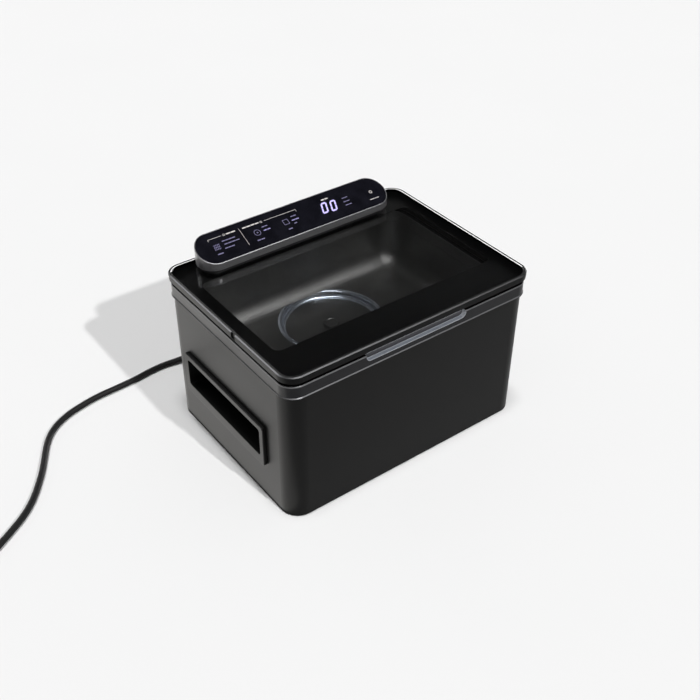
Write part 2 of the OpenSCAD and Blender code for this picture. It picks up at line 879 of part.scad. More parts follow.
module power_cord() {
    color([0.07, 0.07, 0.07]) at(0, 0, 0) tube(cord_route, cord_r, cord_sides);
}

module cord_coil() {
    color([0.07, 0.07, 0.07]) at(coil_at[0], coil_at[1], 0) rotate_extrude()
        translate([coil_in, 0]) square([coil_out - coil_in, coil_h]);
}

module plug_body() {
    color([0.07, 0.07, 0.07]) at(plug_at[0], plug_at[1], plug_r) rotate([-90, 0, 0]) union() {
        cylinder(h = 25, r1 = cord_r + 0.8, r2 = 7.5);
        translate([0, 0, 25]) cylinder(h = 30, r = plug_r);
    }
}

module plug_blades() {
    face = plug_at[1] + 55;
    color("gold") {
        for (dx = [-6.35, 6.35]) box([plug_at[0] + dx - 0.75, face, plug_r - 1],
            [plug_at[0] + dx + 0.75, face + 17, plug_r + 5.3]);
        rod_y(face, face + 20, plug_at[0], plug_r - 6.5, 2.4);
    }
}

base_pan();
feet();
foot_screws();
housing_shell();
rear_panel();
case_screws();
handle_bezel_left();
handle_bezel_right();
deck_frame();
chamber_tub();
intake_filter_cap();
intake_fitting();
chamber_gasket();
lift_cylinders();
pump_bracket();
pump_mounts();
motor_can();
motor_stator();
pump_crankcase();
pump_heads();
exhaust_muffler();
vacuum_hose();
pump_hose();
valve_body();
valve_coil();
valve_spring();
transformer_core();
transformer_coil();
power_board();
board_standoffs();
board_components();
fan_frame();
mains_terminal();
reed_switch();
hinge_brackets();
hinge_pins();
torsion_springs();
cord_gland();
power_cord();
cord_coil();
plug_body();
plug_blades();
lid_rim();
lid_glass();
press_bar_holder();
press_bar_rubber();
hinge_leaves();
lid_magnet();
console_base();
console_band();
console_glass();
console_board();
seal_bar_body();
heater_strip();
bar_tape();
lift_rods();
pump_rotor();
fan_rotor();
valve_plunger();
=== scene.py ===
"""Looks of a countertop chamber vacuum sealer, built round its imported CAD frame.

Lengths are millimetres measured from the middle of the lid, and place() turns them into the frame.
"""

import json
import math

import bmesh
import bpy
from mathutils import Matrix, Vector


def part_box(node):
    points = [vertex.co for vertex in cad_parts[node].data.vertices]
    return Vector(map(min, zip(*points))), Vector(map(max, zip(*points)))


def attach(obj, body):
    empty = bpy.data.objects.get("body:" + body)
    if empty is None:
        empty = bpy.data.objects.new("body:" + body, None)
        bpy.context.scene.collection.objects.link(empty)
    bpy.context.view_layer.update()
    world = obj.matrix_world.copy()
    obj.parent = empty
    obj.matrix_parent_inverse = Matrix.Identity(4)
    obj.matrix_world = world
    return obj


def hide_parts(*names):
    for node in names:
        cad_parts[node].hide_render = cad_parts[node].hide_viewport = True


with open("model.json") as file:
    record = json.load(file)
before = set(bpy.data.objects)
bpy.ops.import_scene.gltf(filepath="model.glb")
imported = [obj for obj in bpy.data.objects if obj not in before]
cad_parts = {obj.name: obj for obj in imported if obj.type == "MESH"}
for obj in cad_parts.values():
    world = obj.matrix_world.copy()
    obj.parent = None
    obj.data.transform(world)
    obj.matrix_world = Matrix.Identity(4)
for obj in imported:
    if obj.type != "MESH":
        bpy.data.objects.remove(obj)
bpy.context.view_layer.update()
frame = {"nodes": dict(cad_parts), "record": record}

MM = 0.001
bpy.context.scene.view_settings.view_transform = "Standard"


def span(node):
    """Lowest and highest corner of a CAD node, in millimetres of the frame."""
    low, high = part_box(node)
    return low / MM, high / MM


rim_low, rim_high = span("lid_rim")
mid_y = (rim_low.y + rim_high.y) / 2


def place(x, y, z):
    """Millimetres from the middle of the lid, as a point of the frame in metres."""
    return Vector((x, mid_y + y, z)) * MM


# ---------- camera ----------

camera_data = bpy.data.cameras.new("camera")
camera_data.sensor_width = 36
camera_data.lens = 52.08
camera = bpy.data.objects.new("camera", camera_data)
bpy.context.collection.objects.link(camera)
heading, down_tilt, roll = math.radians(37.06), math.radians(37.674), math.radians(0.458)
camera.matrix_world = (
    Matrix.Translation((-0.6101, -0.81735, 0.8753))
    @ Matrix.Rotation(-heading, 4, "Z")
    @ Matrix.Rotation(math.pi / 2 - down_tilt, 4, "X")
    @ Matrix.Rotation(roll, 4, "Z")
)
bpy.context.scene.camera = camera


# ---------- materials ----------

MOTTLE_SCALE = 22
ROUGH_SPREAD = 0.05
RELIEF = 0.2 * MM


def shader(name):
    """A new material with its nodes, its links and its shader."""
    mat = bpy.data.materials.new(name)
    mat.use_nodes = True
    nodes = mat.node_tree.nodes
    links = mat.node_tree.links
    return mat, nodes, links, nodes["Principled BSDF"]


def noise(nodes, links, vector, scale, detail=2):
    """Value of a noise texture."""
    texture = nodes.new("ShaderNodeTexNoise")
    texture.inputs["Scale"].default_value = scale
    texture.inputs["Detail"].default_value = detail
    links.new(vector, texture.inputs["Vector"])
    return texture.outputs["Fac"]


def value_range(nodes, links, value, low, high):
    """A value from 0 to 1 spread over a range."""
    spread = nodes.new("ShaderNodeMapRange")
    spread.inputs["To Min"].default_value = low
    spread.inputs["To Max"].default_value = high
    links.new(value, spread.inputs["Value"])
    return spread.outputs["Result"]


def surface(name, colour, rough, metal=0.0, grain=300.0, stretch=(1, 1, 1), vary=0.15, bump=0.0,
            spec=0.5, mottle=0.0):
    """Procedural finish: noise varies the colour and the roughness and may raise the grain."""
    mat, nodes, links, bsdf = shader(name)
    coords = nodes.new("ShaderNodeTexCoord")
    mapping = nodes.new("ShaderNodeMapping")
    mapping.inputs["Scale"].default_value = stretch
    links.new(coords.outputs["Object"], mapping.inputs["Vector"])
    value = noise(nodes, links, mapping.outputs["Vector"], grain, 3)
    if mottle:
        cloud = noise(nodes, links, mapping.outputs["Vector"], MOTTLE_SCALE, 5)
        mix = nodes.new("ShaderNodeMix")
        mix.inputs["Factor"].default_value = mottle
        links.new(value, mix.inputs["A"])
        links.new(cloud, mix.inputs["B"])
        value = mix.outputs["Result"]
    ramp = nodes.new("ShaderNodeValToRGB")
    ramp.color_ramp.elements[0].position = 0.3
    ramp.color_ramp.elements[1].position = 0.7
    ramp.color_ramp.elements[0].color = (*[c * (1 - vary) for c in colour], 1)
    ramp.color_ramp.elements[1].color = (*[min(1, c * (1 + vary)) for c in colour], 1)
    links.new(value, ramp.inputs["Fac"])
    links.new(ramp.outputs["Color"], bsdf.inputs["Base Color"])
    links.new(value_range(nodes, links, value, rough - ROUGH_SPREAD, rough + ROUGH_SPREAD),
              bsdf.inputs["Roughness"])
    if bump:
        relief = nodes.new("ShaderNodeBump")
        relief.inputs["Strength"].default_value = bump
        relief.inputs["Distance"].default_value = RELIEF
        links.new(value, relief.inputs["Height"])
        links.new(relief.outputs["Normal"], bsdf.inputs["Normal"])
    bsdf.inputs["Metallic"].default_value = metal
    bsdf.inputs["Specular IOR Level"].default_value = spec
    return mat


def lit(name, colour, strength):
    """A glowing print: noise varies the colour a little, and it gives off light."""
    mat = surface(name, [0.5 * c for c in colour], 0.3, grain=900, vary=0.05)
    nodes, links = mat.node_tree.nodes, mat.node_tree.links
    bsdf = nodes["Principled BSDF"]
    tone = nodes.new("ShaderNodeMixRGB")
    tone.blend_type = "MULTIPLY"
    tone.inputs["Fac"].default_value = 0.1
    tone.inputs["Color1"].default_value = (*colour, 1)
    links.new(bsdf.inputs["Base Color"].links[0].from_socket, tone.inputs["Color2"])
    links.new(tone.outputs["Color"], bsdf.inputs["Emission Color"])
    bsdf.inputs["Emission Strength"].default_value = strength
    return mat


def clear_glass(name, tint, gloss):
    """Tinted glass that lets the lamps through, with a mirror coat that grows at low angles."""
    mat, nodes, links, bsdf = shader(name)
    nodes.remove(bsdf)
    clear = nodes.new("ShaderNodeBsdfTransparent")
    mirror = nodes.new("ShaderNodeBsdfGlossy")
    mirror.inputs["Roughness"].default_value = 0.02
    mirror.inputs["Color"].default_value = (gloss, gloss, gloss, 1)
    coords = nodes.new("ShaderNodeTexCoord")
    ramp = nodes.new("ShaderNodeValToRGB")
    ramp.color_ramp.elements[0].color = (*[t * 0.97 for t in tint], 1)
    ramp.color_ramp.elements[1].color = (*tint, 1)
    links.new(noise(nodes, links, coords.outputs["Object"], 12), ramp.inputs["Fac"])
    links.new(ramp.outputs["Color"], clear.inputs["Color"])
    fresnel = nodes.new("ShaderNodeFresnel")
    fresnel.inputs["IOR"].default_value = 1.5
    sides = nodes.new("ShaderNodeNewGeometry")
    outer = nodes.new("ShaderNodeMath")
    outer.operation = "SUBTRACT"
    outer.use_clamp = True
    links.new(fresnel.outputs["Fac"], outer.inputs[0])
    links.new(sides.outputs["Backfacing"], outer.inputs[1])
    mix = nodes.new("ShaderNodeMixShader")
    links.new(outer.outputs["Value"], mix.inputs["Fac"])
    links.new(clear.outputs["BSDF"], mix.inputs[1])
    links.new(mirror.outputs["BSDF"], mix.inputs[2])
    links.new(mix.outputs["Shader"], nodes["Material Output"].inputs["Surface"])
    return mat


def haze(name, share):
    """A clear film that scatters a small share of the light, more in some places than others."""
    mat, nodes, links, bsdf = shader(name)
    bsdf.inputs["Base Color"].default_value = (0.8, 0.8, 0.8, 1)
    bsdf.inputs["Roughness"].default_value = 0.9
    bsdf.inputs["Specular IOR Level"].default_value = 0
    coords = nodes.new("ShaderNodeTexCoord")
    cloud = noise(nodes, links, coords.outputs["Object"], 14)
    clear = nodes.new("ShaderNodeBsdfTransparent")
    mix = nodes.new("ShaderNodeMixShader")
    links.new(value_range(nodes, links, cloud, 0.8 * share, 1.2 * share), mix.inputs["Fac"])
    links.new(clear.outputs["BSDF"], mix.inputs[1])
    links.new(bsdf.outputs["BSDF"], mix.inputs[2])
    links.new(mix.outputs["Shader"], nodes["Material Output"].inputs["Surface"])
    return mat


FINISHES = {
    "shell_paint": surface("shell_paint", (0.0025, 0.0025, 0.0024), 0.40, grain=1400, bump=0.1,
                           spec=0.1),
    "bezel_plastic": surface("bezel_plastic", (0.005, 0.005, 0.0047), 0.39, grain=900, bump=0.1,
                             spec=0.105),
    "trim_plastic": surface("trim_plastic", (0.006, 0.006, 0.0065), 0.45, grain=900, bump=0.2),
    "deck_plastic": surface("deck_plastic", (0.008, 0.008, 0.0095), 0.32, grain=700, bump=0.05,
                            spec=0.13),
    "lid_metal": surface("lid_metal", (0.004, 0.004, 0.0042), 0.3, grain=700, bump=0.05,
                         spec=0.05),
    "lid_glass": clear_glass("lid_glass", (0.76, 0.76, 0.76), 0.95),
    "console_metal": surface("console_metal", (0.17, 0.17, 0.175), 0.34, metal=0.7, grain=500,
                             stretch=(0.05, 1, 4), vary=0.2),
    "console_face": surface("console_face", (0.006, 0.006, 0.009), 0.12, grain=60, vary=0.3),
    "chamber_steel": surface("chamber_steel", (0.175, 0.175, 0.172), 0.46, metal=0.93, grain=900,
                             vary=0.2, mottle=0.6),
    "bright_steel": surface("bright_steel", (0.62, 0.62, 0.63), 0.2, metal=1, grain=300),
    "black_steel": surface("black_steel", (0.045, 0.045, 0.045), 0.4, grain=500, bump=0.1),
    "cast_aluminium": surface("cast_aluminium", (0.52, 0.52, 0.53), 0.42, metal=0.9, grain=500,
                              bump=0.2),
    "brass": surface("brass", (0.72, 0.52, 0.22), 0.28, metal=1, grain=250),
    "copper": surface("copper", (0.6, 0.26, 0.1), 0.4, metal=0.8, grain=900, stretch=(1, 1, 0.1)),
    "iron": surface("iron", (0.12, 0.12, 0.12), 0.5, metal=0.6, grain=900, stretch=(0.1, 1, 0.1)),
    "black_rubber": surface("black_rubber", (0.018, 0.018, 0.018), 0.6, grain=900, bump=0.3),
    "red_silicone": surface("red_silicone", (0.12, 0.02, 0.015), 0.5, grain=600, bump=0.1),
    "circuit_board": surface("circuit_board", (0.02, 0.13, 0.045), 0.35, grain=400, vary=0.3),
    "dark_parts": surface("dark_parts", (0.022, 0.022, 0.022), 0.4, grain=700, bump=0.1),
    "white_plastic": surface("white_plastic", (0.68, 0.66, 0.6), 0.4, grain=500, bump=0.05),
    "heater": surface("heater", (0.2, 0.1, 0.05), 0.5, grain=700, stretch=(0.1, 1, 1)),
    "tape": surface("tape", (0.14, 0.09, 0.05), 0.5, grain=900, stretch=(1, 1, 0.2), vary=0.3),
    "cord_rubber": surface("cord_rubber", (0.006, 0.006, 0.0063), 0.45, grain=900, bump=0.1,
                           spec=0.15),
}
BORDER = surface("printed_border", (0.003, 0.003, 0.0033), 0.35, grain=200)
# Metallic finish far lighter than the deck's plastic: on the deck's rounds and chamfers it paints
# highlight lines; on the console band it is the polished chamfer.
EDGE_POLISH_HIGHLIGHT = surface("polished_edge_and_highlight", (0.14, 0.14, 0.145), 0.4, metal=0.7, grain=900, vary=0.05)
# Lighter metallic copy of the lid frame's finish, a painted highlight line on its upper slope at
# the front and left.
LID_EDGE_HIGHLIGHT = surface("lid_edge_highlight", (0.05, 0.05, 0.052), 0.36, metal=0.8, grain=900, vary=0.05)
# Flat black with no gloss, painted shade: the gap between lid and deck, and the lid frame's upper
# slope at the rear and right side.
SHADE_BLACK = surface("painted_shade_black", (0.003, 0.003, 0.003), 0.7, grain=700, spec=0.0)
# Near-white finish, a painted highlight along the pane's sloped edge at the rear and right side.
GLASS_RIM_HIGHLIGHT = surface("glass_bevel_highlight", (0.9, 0.9, 0.9), 0.2, grain=900, vary=0.04)
HAZE = haze("window_film", 0.006)
# Bluish and much lighter than the deck's plastic: a painted highlight on the pull's ledge.
LEDGE_HIGHLIGHT = surface("pull_ledge_highlight", (0.30, 0.33, 0.38), 0.3, grain=300, vary=0.1)
# Lighter than the deck's plastic: painted light on the pull's back wall.
PULL_WALL_LIGHT = surface("pull_wall_painted_light", (0.036, 0.036, 0.041), 0.35, grain=500, vary=0.1)
# Bright grey: painted highlight lines on the pull's edges, its right end and a thin strip along its
# top.
PULL_HIGHLIGHT = surface("pull_highlight", (0.5, 0.52, 0.56), 0.3, grain=500, vary=0.1)
# Bright bluish steel, lighter than the chamber's own steel: painted highlight on the bead and the
# recess wall.
BEAD_HIGHLIGHT_STEEL = surface("bead_highlight_steel", (0.7, 0.76, 0.86), 0.25, metal=0.85, grain=500, vary=0.08)
PRINT_WHITE = lit("print_white", (0.72, 0.68, 0.66), 0.5)
PRINT_DIM = lit("print_dim", (0.30, 0.28, 0.48), 0.17)
PRINT_VALUE = lit("print_value", (0.36, 0.33, 0.62), 0.42)
PRINT_DIGIT = lit("print_digit", (0.58, 0.52, 1.0), 0.9)

# the CAD solids that stay in view wear the same finishes
for part in frame["record"]["subparts"]:
    mesh = frame["nodes"][part["node"]].data
    mesh.materials.clear()
    mesh.materials.append(FINISHES[part["material_slot"]])


# ---------- mesh helpers ----------


def outline(w, d, r, steps=12, centre=(0, 0)):
    """Rectangle with round corners, anticlockwise from its right front corner."""
    points = []
    for quarter, (sx, sy) in enumerate([(1, -1), (1, 1), (-1, 1), (-1, -1)]):
        for i in range(steps + 1):
            a = math.radians(90 * (quarter - 1) + 90 * i / steps)
            points.append((centre[0] + sx * (w / 2 - r) + r * math.cos(a),
                           centre[1] + sy * (d / 2 - r) + r * math.sin(a)))
    return points


def ring(w, d, r, inset, z, steps=12, centre=(0, 0)):
    """The same outline drawn in by an inset, at a height."""
    flat = outline(w - 2 * inset, d - 2 * inset, max(r - inset, 0.3), steps, centre)
    return [(x, y, z) for x, y in flat]


def arc(cx, cy, r, start, end, steps):
    """Points of an arc in a profile, from one angle to another in degrees."""
    angles = [math.radians(start + (end - start) * i / steps) for i in range(steps + 1)]
    return [(cx + r * math.cos(a), cy + r * math.sin(a)) for a in angles]


def loft(rings, closed=False):
    """Skin through equal rings: open ends are capped, closed joins the last ring to the first."""
    n = len(rings[0])
    points = [p for one in rings for p in one]
    faces = []
    for i in range(len(rings) if closed else len(rings) - 1):
        j = (i + 1) % len(rings)
        for k in range(n):
            m = (k + 1) % n
            faces.append((i * n + k, i * n + m, j * n + m, j * n + k))
    if not closed:
        faces.append(tuple(range(n))[::-1])
        faces.append(tuple((len(rings) - 1) * n + k for k in range(n)))
    return points, faces


def lathe(profile, steps=96):
    """Solid of revolution about Z from (radius, height) points, capped at both ends."""
    rings = [[(r * math.cos(math.tau * k / steps), r * math.sin(math.tau * k / steps), z)
              for k in range(steps)] for r, z in profile]
    return loft(rings)


def shifted(shape, move=(0, 0, 0), turn=None):
    """The same shape moved, after an optional turn by a 3 x 3 matrix."""
    points, faces = shape
    turned = [turn @ Vector(p) if turn else Vector(p) for p in points]
    return [p + Vector(move) for p in turned], faces


def solid(name, shape, material=None):
    """Object from points in millimetres and faces, with its normals outwards."""
    points, faces = shape
    mesh = bpy.data.meshes.new(name)
    mesh.from_pydata([place(*p) for p in points], [], faces)
    bm = bmesh.new()
    bm.from_mesh(mesh)
    bmesh.ops.remove_doubles(bm, verts=bm.verts, dist=1e-7)
    bmesh.ops.recalc_face_normals(bm, faces=bm.faces)
    bm.to_mesh(mesh)
    bm.free()
    piece = bpy.data.objects.new(name, mesh)
    bpy.context.collection.objects.link(piece)
    if material:
        mesh.materials.append(material)
    return piece


def block(low, high):
    """Box between two corners, as points and faces."""
    rings = [[(low[0], low[1], z), (high[0], low[1], z), (high[0], high[1], z),
              (low[0], high[1], z)] for z in (low[2], high[2])]
    return loft(rings)


def join(shapes):
    """Several shapes as one."""
    points, faces = [], []
    for some_points, some_faces in shapes:
        start = len(points)
        points += list(some_points)
        faces += [tuple(start + i for i in face) for face in some_faces]
    return points, faces


def bake(piece):
    """Applies the piece's modifiers."""
    graph = bpy.context.evaluated_depsgraph_get()
    baked = bpy.data.meshes.new_from_object(piece.evaluated_get(graph))
    old = piece.data
    piece.modifiers.clear()
    piece.data = baked
    bpy.data.meshes.remove(old)


def combine(piece, operation, *tools):
    """Adds or cuts away the tools one by one, and removes them."""
    for tool in tools:
        step = piece.modifiers.new("step", "BOOLEAN")
        step.operation = operation
        step.solver = "EXACT"
        step.object = tool
        bpy.context.view_layer.update()
        bake(piece)
        bpy.data.objects.remove(tool)


def soften(piece, width, segments=2, angle=30, edge=None):
    """Rounds every edge sharper than the angle, in the edge's own finish if it has one."""
    step = piece.modifiers.new("edges", "BEVEL")
    if edge:
        step.material = add_material(piece, edge)
    step.width = width * MM
    step.segments = segments
    step.limit_method = "ANGLE"
    step.angle_limit = math.radians(angle)
    bpy.context.view_layer.update()
    bake(piece)


def add_material(piece, material):
    """Gives a piece one more finish, and tells its index."""
    piece.data.materials.append(material)
    return len(piece.data.materials) - 1


def paint(piece, material, low, high, slope):
    """Gives the faces between two heights another finish, if they look up by more than a slope."""
    index = add_material(piece, material)
    for polygon in piece.data.polygons:
        if low < polygon.center.z / MM < high and slope < polygon.normal.z:
            polygon.material_index = index


def finish(piece, body, slot, *nodes, sharp=35):
    """Smooth shading with sharp edges kept, and the piece's place in the frame."""
    for polygon in piece.data.polygons:
        polygon.use_smooth = True
    piece.data.set_sharp_from_angle(angle=math.radians(sharp))
    weights = piece.modifiers.new("normals", "WEIGHTED_NORMAL")
    weights.keep_sharp = True
    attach(piece, body)
    if nodes:
        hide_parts(*nodes)
    return piece


# ---------- power cord ----------

CORD_R = 4.0
gland_low, gland_high = span("cord_gland")
gland_x = (gland_low.x + gland_high.x) / 2
gland_end = gland_high.y - mid_y
coil_low, coil_high = span("cord_coil")
coil_x = (coil_low.x + coil_high.x) / 2
coil_y = (coil_low.y + coil_high.y) / 2 - mid_y

# out of the rear panel, down to the floor and away to the left, past the camera's view
route = [
    (-100, 166, 26), (-100.5, 176, 25), (-103, 186, 22), (-108, 195, 17), (-116, 202, 11.5),
    (-127, 206.5, 7), (-141, 210, 4.6), (-158, 212, 4.1), (-180, 211, 4.1), (-205, 207.5, 4.1),
    (-228, 206, 4.1), (-252, 205, 4.1), (-270, 203, 4.1), (-287, 199.5, 4.1), (-303, 195, 4.1),
    (-317, 189, 4.1), (-330, 181, 4.1), (-341, 171, 4.1), (-351, 158, 4.1), (-359, 145, 4.1),
    (-368, 129, 4.1), (-377, 114, 4.1), (-388, 98, 4.1), (-400, 82, 4.1), (-412, 69, 4.1),
    (-424, 58.5, 4.1), (-442, 46, 4.1), (-461, 34, 4.1), (-482, 21, 4.1), (-501, 9.5, 4.1)]

COIL_STEPS = 16
OUTER_R, INNER_R, REACH_R = 53.3, 36.8, 49.0
LOWER_TURNS, UPPER_TURNS = 2.0, 1.34
CLIMB_TURNS = 0.3
LOWER_Z = CORD_R + 0.1
LAYER_H = 8.3
ENTRY = -57.6


def coil_point(angle, radius, z):
    """Point of the coil, from its angle in degrees."""
    a = math.radians(angle)
    return coil_x + radius * math.cos(a), coil_y + radius * math.sin(a), z


coil = []
lower = int(LOWER_TURNS * COIL_STEPS)
for i in range(1, lower + 1):
    part = i / lower
    coil.append(coil_point(ENTRY - 360 * LOWER_TURNS * part,
                           OUTER_R + (INNER_R - OUTER_R) * part, LOWER_Z))
upper = int(UPPER_TURNS * COIL_STEPS)
for i in range(1, upper + 1):
    part = i / upper
    climb = min(1, part * UPPER_TURNS / CLIMB_TURNS)
    coil.append(coil_point(ENTRY - 360 * LOWER_TURNS - 360 * UPPER_TURNS * part,
                           INNER_R + (REACH_R - INNER_R) * part, LOWER_Z + LAYER_H * climb))
plug_low, plug_high = span("plug_body")
plug_x = (plug_low.x + plug_high.x) / 2
plug_z = (plug_low.z + plug_high.z) / 2
plug_y = plug_low.y - mid_y
tail = [(plug_x, coil_y + 12, 12.6), (plug_x, coil_y + 22, plug_z), (plug_x, plug_y + 1, plug_z)]

cord_points = route + coil + tail
curve = bpy.data.curves.new("mains_cord", "CURVE")
curve.dimensions = "3D"
curve.bevel_depth = CORD_R * MM
curve.bevel_resolution = 5
curve.resolution_u = 5
curve.use_fill_caps = True
spline = curve.splines.new("BEZIER")
spline.bezier_points.add(len(cord_points) - 1)
for knot, point in zip(spline.bezier_points, cord_points):
    knot.co = place(*point)
    knot.handle_left_type = "AUTO"
    knot.handle_right_type = "AUTO"
curve.materials.append(FINISHES["cord_rubber"])
cord = bpy.data.objects.new("mains_cord", curve)
bpy.context.collection.objects.link(cord)
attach(cord, "housing")
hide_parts("power_cord", "cord_coil")

turn_y = Matrix.Rotation(-math.pi / 2, 3, "X")
plug_profile = [(CORD_R + 0.9, 0), (5.4, 4), (5.0, 5), (5.9, 9), (5.5, 10), (6.4, 14), (6.0, 15),
                (6.9, 19), (6.5, 20), (7.5, 25), (10, 26.5), (12, 29), (13, 33), (13, 50),
                (12.4, 53), (11, 55)]
plug = solid("mains_plug", shifted(lathe(plug_profile, 48), (plug_x, plug_y, plug_z), turn_y),
             FINISHES["cord_rubber"])
finish(plug, "housing", "cord_rubber", "plug_body", sharp=50)

gland_low_y = gland_low.y - mid_y
gland_z = (gland_low.z + gland_high.z) / 2
GLAND_R, FLANGE_R, FLANGE_Y = 7, 9, 12
RIBS, RIB_DEEP = 6, 0.9
gland_profile = [(GLAND_R, 0), (GLAND_R, FLANGE_Y), (FLANGE_R, FLANGE_Y),
                 (FLANGE_R, FLANGE_Y + 2), (FLANGE_R - 0.5, FLANGE_Y + 2.5)]
rib_length = (gland_end - gland_low_y - FLANGE_Y - 4) / RIBS
for i in range(RIBS):
    start = FLANGE_Y + 3 + i * rib_length
    radius = GLAND_R - (GLAND_R - CORD_R - 1.2) * (i + 0.5) / RIBS
    gland_profile += [(radius, start), (radius, start + 0.6 * rib_length),
                      (radius - RIB_DEEP, start + 0.7 * rib_length),
                      (radius - RIB_DEEP, start + rib_length)]
gland_profile.append((CORD_R + 0.3, gland_end - gland_low_y))
gland = solid("cord_strain_relief",
              shifted(lathe(gland_profile, 48), (gland_x, gland_low_y, gland_z), turn_y),
              FINISHES["cord_rubber"])
finish(gland, "housing", "cord_rubber", "cord_gland", sharp=50)

TIE_W, TIE_H, TIE_R, TIE_T = 24, 18.6, 5, 1
TIE_HALF, TIE_Z = 3, 9.4
tie_x = coil_x + (REACH_R + INNER_R) / 2 + 1
tie_section = [(0, -TIE_HALF), (0, TIE_HALF), (TIE_T, TIE_HALF), (TIE_T, -TIE_HALF)]
tie_rings = [[(x, along, up) for x, up, along in ring(TIE_W, TIE_H, TIE_R, inset, y, 6)]
             for inset, y in tie_section]
tie = solid("cord_tie", shifted(loft(tie_rings, closed=True), (tie_x, coil_y, TIE_Z)),
            FINISHES["black_rubber"])
finish(tie, "housing", "black_rubber")


# ---------- body ----------

housing_low, housing_high = span("housing_shell")
deck_low, deck_high = span("deck_frame")
deck_w, deck_d = deck_high.x - deck_low.x, deck_high.y - deck_low.y
deck_z, deck_top = housing_high.z, deck_high.z
lid_w, lid_d = rim_high.x - rim_low.x, rim_high.y - rim_low.y
lid_z, lid_top = rim_low.z, rim_high.z
CORNER = 20.5
tub_low, tub_high = span("chamber_tub")
TUB_R, TUB_T, TUB_FLANGE = 24.0, 1.2, 11.0
tub_w = tub_high.x - tub_low.x - 2 * TUB_FLANGE
tub_d = tub_high.y - tub_low.y - 2 * TUB_FLANGE
gasket_low = span("chamber_gasket")[0]
GROOVE = 13.0
GROOVE_W = 6.0
LIP_GAP, LIP_T, LIP_R = 2.8, 2, 20.7
FLARE_LOW, FLARE_HIGH, TOP_EDGE = 1, 2.1, 1.4
wall_w, wall_d = housing_high.x - housing_low.x, housing_high.y - housing_low.y
lip_w, lip_d = wall_w - 2 * LIP_GAP, wall_d - 2 * LIP_GAP


def deck_ring(inset, z):
    """Outer outline of the deck."""
    return ring(deck_w, deck_d, CORNER, inset, z)


def around_tub(grow, z):
    """Outline of the chamber's opening, made larger all round."""
    return ring(tub_w + 2 * grow, tub_d + 2 * grow, TUB_R + grow, 0, z)


deck_rings = [
    deck_ring(0.4, deck_z), deck_ring(0, deck_z + 0.4), deck_ring(0, deck_z + FLARE_LOW),
    deck_ring(0.9, deck_z + FLARE_HIGH), deck_ring(0.9, deck_top - TOP_EDGE),
    deck_ring(1.1, deck_top - 0.6), deck_ring(1.7, deck_top),
    around_tub(GROOVE, deck_top), around_tub(GROOVE, gasket_low.z),
    around_tub(GROOVE - GROOVE_W, gasket_low.z), around_tub(GROOVE - GROOVE_W, deck_top),
    around_tub(0, deck_top), around_tub(0, deck_z),
    ring(lip_w, lip_d, LIP_R, LIP_T, deck_z), ring(lip_w, lip_d, LIP_R, LIP_T, deck_low.z),
    ring(lip_w, lip_d, LIP_R, 0, deck_low.z), ring(lip_w, lip_d, LIP_R, 0, deck_z)]
deck = solid("deck_trim", loft(deck_rings, closed=True), FINISHES["deck_plastic"])

PULL_L, PULL_H, PULL_IN, PULL_R = 144, 8.2, 6, 6
pull_outline = [(PULL_L / 2 * s, PULL_H + 2) for s in (-1, 1)]
pull_outline += arc(PULL_L / 2 - PULL_R, PULL_R, PULL_R, 0, -90, 8)
pull_outline += arc(PULL_R - PULL_L / 2, PULL_R, PULL_R, -90, -180, 8)
pull = solid("pull", loft([[(x, y, deck_top - PULL_H + z) for x, z in pull_outline]
                           for y in (-deck_d / 2 - 1, -deck_d / 2 + PULL_IN)]))
combine(deck, "DIFFERENCE", pull)
# Painted highlight lines: the deck's rounds, its lower flare and its top chamfer take the lighter
# metallic edge finish.
soften(deck, 0.5, 2, 50, EDGE_POLISH_HIGHLIGHT)
paint(deck, EDGE_POLISH_HIGHLIGHT, deck_z + FLARE_LOW, deck_z + FLARE_HIGH, 0.2)
paint(deck, EDGE_POLISH_HIGHLIGHT, deck_top - TOP_EDGE, deck_top - 0.05, 0.2)
# Painted shade: the deck's flat top under the lid is flat black, for the dark gap line.
paint(deck, SHADE_BLACK, deck_top - 0.05, deck_top + 0.1, 0.9)
bevel_highlight_index = deck.data.materials.find(EDGE_POLISH_HIGHLIGHT.name)
ledge_highlight_index, wall_light_index, pull_highlight_index, steel_index = (
    add_material(deck, extra) for extra in (LEDGE_HIGHLIGHT, PULL_WALL_LIGHT, PULL_HIGHLIGHT, FINISHES["chamber_steel"]))
wall_y = -deck_d / 2 + PULL_IN
for polygon in deck.data.polygons:
    spot, facing = polygon.center / MM - Vector((0, mid_y, 0)), polygon.normal
    in_pull = spot.y < wall_y + 1 and abs(spot.x) < PULL_L / 2 + 0.3
    in_opening = abs(spot.x) < tub_w / 2 + 0.5 and abs(spot.y) < tub_d / 2 + 0.5
    if in_pull and deck_top - PULL_H - 1 < spot.z < deck_top - 0.02:
        # rounded edges and the right end face: painted highlight line
        if polygon.material_index == bevel_highlight_index or facing.x < -0.3:
            polygon.material_index = pull_highlight_index
        # the ledge under the lid: bluish painted highlight
        elif facing.z > 0.3 and spot.z < deck_top - 2:
            polygon.material_index = ledge_highlight_index
        # the back wall: lighter painted light
        elif facing.y < -0.9 and spot.y > wall_y - 1:
            polygon.material_index = wall_light_index
    elif in_opening and abs(facing.z) < 0.1:
        polygon.material_index = steel_index
finish(deck, "housing", "deck_plastic", "deck_frame")
# Thin strip along the top of the pull's back wall, a painted highlight line.
highlight_strip = solid("pull_highlight_strip", block((3 - PULL_L / 2, wall_y - 0.4, deck_top - 1.1),
                                (PULL_L / 2 - 3, wall_y - 0.02, deck_top - 0.1)), PULL_HIGHLIGHT)
soften(highlight_strip, 0.12)
finish(highlight_strip, "housing", "deck_plastic")

